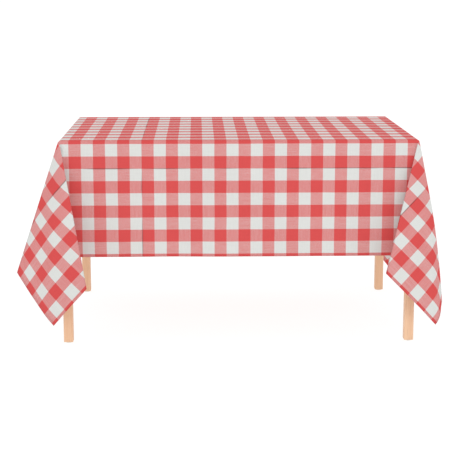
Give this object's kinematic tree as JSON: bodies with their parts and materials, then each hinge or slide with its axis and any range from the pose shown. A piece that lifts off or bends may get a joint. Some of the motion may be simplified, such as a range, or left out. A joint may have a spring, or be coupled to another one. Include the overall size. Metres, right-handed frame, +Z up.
{
  "type": "table with a checked tablecloth",
  "caption": "Light wood dining table under a loose red and white gingham tablecloth with one deep fold at each corner.",
  "frame": {"origin": "on the floor under the middle of the box round the whole object", "axes": "+X along the table's length to the right, +Y to the back, +Z up; the front long side faces -Y"},
  "size_m": [1.6134, 1.1188, 0.7513],
  "materials": {
    "gingham_cotton": "matt woven gingham",
    "light_wood": "satin",
    "block_wood": "sawn",
    "zinc_steel": "zinc plated",
    "glide_nylon": "moulded"
  },
  "bodies": {
    "table": {"tabletop": "light_wood", "leg_front_left": "light_wood", "leg_front_right": "light_wood", "leg_back_left": "light_wood", "leg_back_right": "light_wood", "rail_front": "light_wood", "rail_back": "light_wood", "rail_left": "light_wood", "rail_right": "light_wood", "corner_block_front_left": "block_wood", "corner_block_front_right": "block_wood", "corner_block_back_left": "block_wood", "corner_block_back_right": "block_wood", "hanger_bolt_front_left": "zinc_steel", "hanger_bolt_front_right": "zinc_steel", "hanger_bolt_back_left": "zinc_steel", "hanger_bolt_back_right": "zinc_steel", "washer_front_left": "zinc_steel", "washer_front_right": "zinc_steel", "washer_back_left": "zinc_steel", "washer_back_right": "zinc_steel", "nut_front_left": "zinc_steel", "nut_front_right": "zinc_steel", "nut_back_left": "zinc_steel", "nut_back_right": "zinc_steel", "glide_front_left": "glide_nylon", "glide_front_right": "glide_nylon", "glide_back_left": "glide_nylon", "glide_back_right": "glide_nylon", "top_clip_1": "zinc_steel", "top_clip_2": "zinc_steel", "top_clip_3": "zinc_steel", "top_clip_4": "zinc_steel", "top_clip_5": "zinc_steel", "top_clip_6": "zinc_steel", "top_clip_7": "zinc_steel", "top_clip_8": "zinc_steel", "clip_screw_1": "zinc_steel", "clip_screw_2": "zinc_steel", "clip_screw_3": "zinc_steel", "clip_screw_4": "zinc_steel", "clip_screw_5": "zinc_steel", "clip_screw_6": "zinc_steel", "clip_screw_7": "zinc_steel", "clip_screw_8": "zinc_steel"},
    "cloth": {"tablecloth": "gingham_cotton"}
  },
  "joints": [
    {"name": "cloth_lift", "type": "slide", "parent": "table", "child": "cloth", "axis": [0, 0, 1], "range_m": [0, 0.72]}
  ]
}
